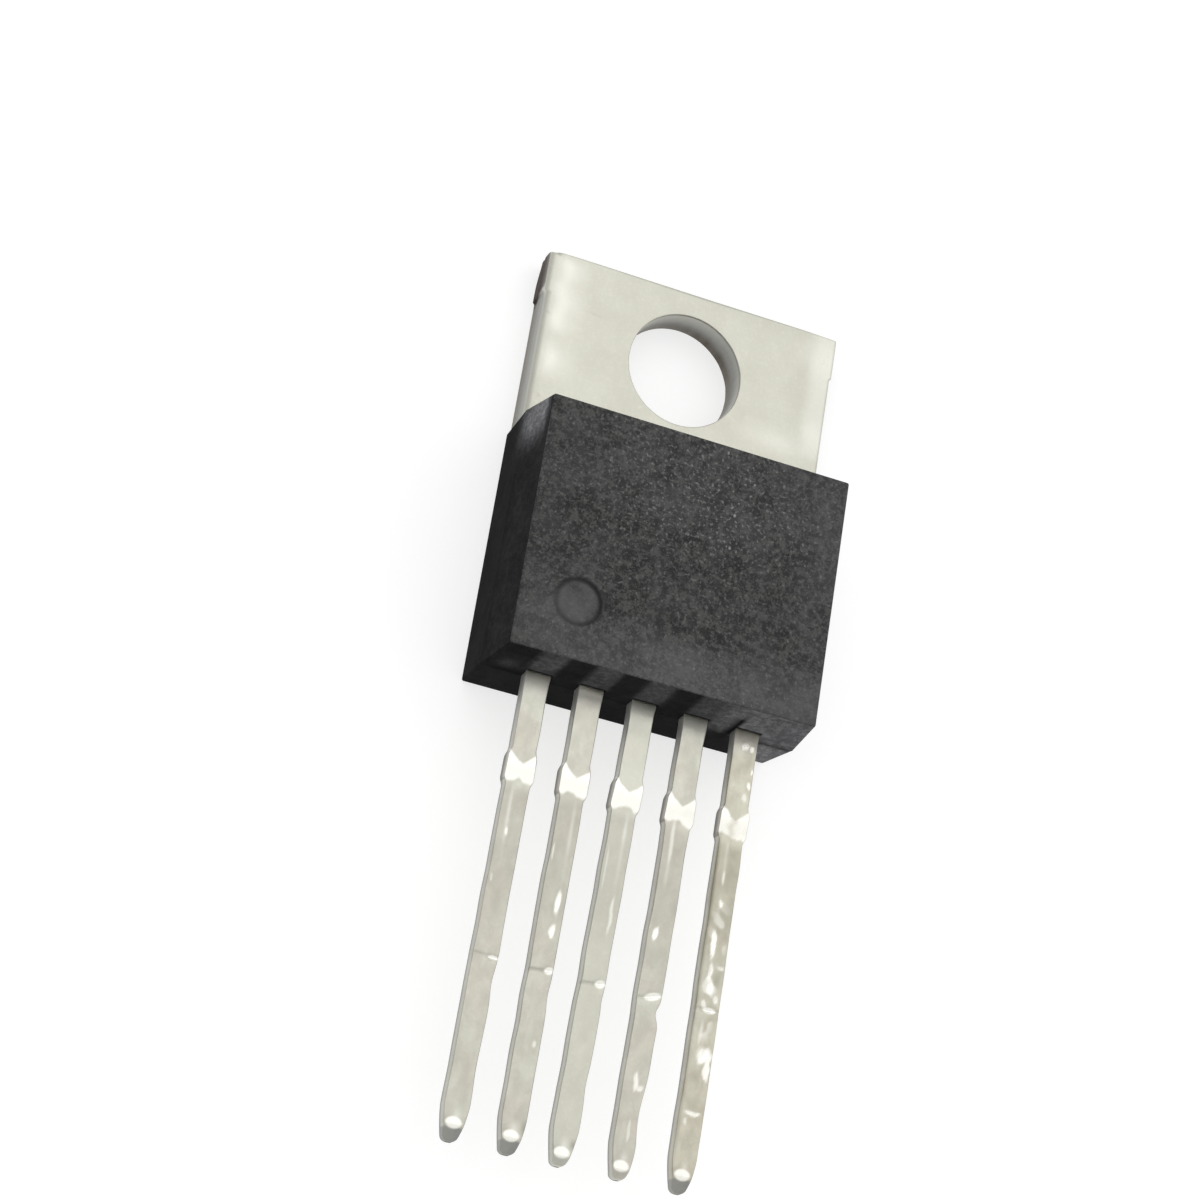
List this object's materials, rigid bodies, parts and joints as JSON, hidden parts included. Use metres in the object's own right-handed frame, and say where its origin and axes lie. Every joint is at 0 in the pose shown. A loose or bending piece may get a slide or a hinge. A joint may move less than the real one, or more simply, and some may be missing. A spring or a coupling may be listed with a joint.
{
  "type": "voltage regulator",
  "caption": "Through-hole power regulator package: black moulded body on a tinned copper heat tab with a mounting hole, and a row of long straight leads.",
  "frame": {"origin": "centre of the tab's mounting hole, on the tab's back face", "axes": "+X across the leads, from the input lead to the enable lead; +Y from the lead tips to the tab's end; +Z out of the body's front face"},
  "size_m": [0.0102, 0.0284, 0.0042],
  "materials": {
    "black_epoxy": "matte, finely mottled front; smoother sides and ends",
    "tinned_copper": "satin tin plating, bare copper where the carrier strip was cut",
    "silicon": "polished",
    "solder": "dull",
    "bond_wire": "smooth"
  },
  "bodies": {
    "root": {"moulded_body": "black_epoxy", "heat_tab": "tinned_copper", "input_lead": "tinned_copper", "output_lead": "tinned_copper", "feedback_lead": "tinned_copper", "enable_lead": "tinned_copper", "regulator_die": "silicon", "die_solder": "solder", "input_bond_wire": "bond_wire", "output_bond_wire": "bond_wire", "ground_bond_wire": "bond_wire", "feedback_bond_wire": "bond_wire", "enable_bond_wire": "bond_wire"}
  },
  "joints": []
}
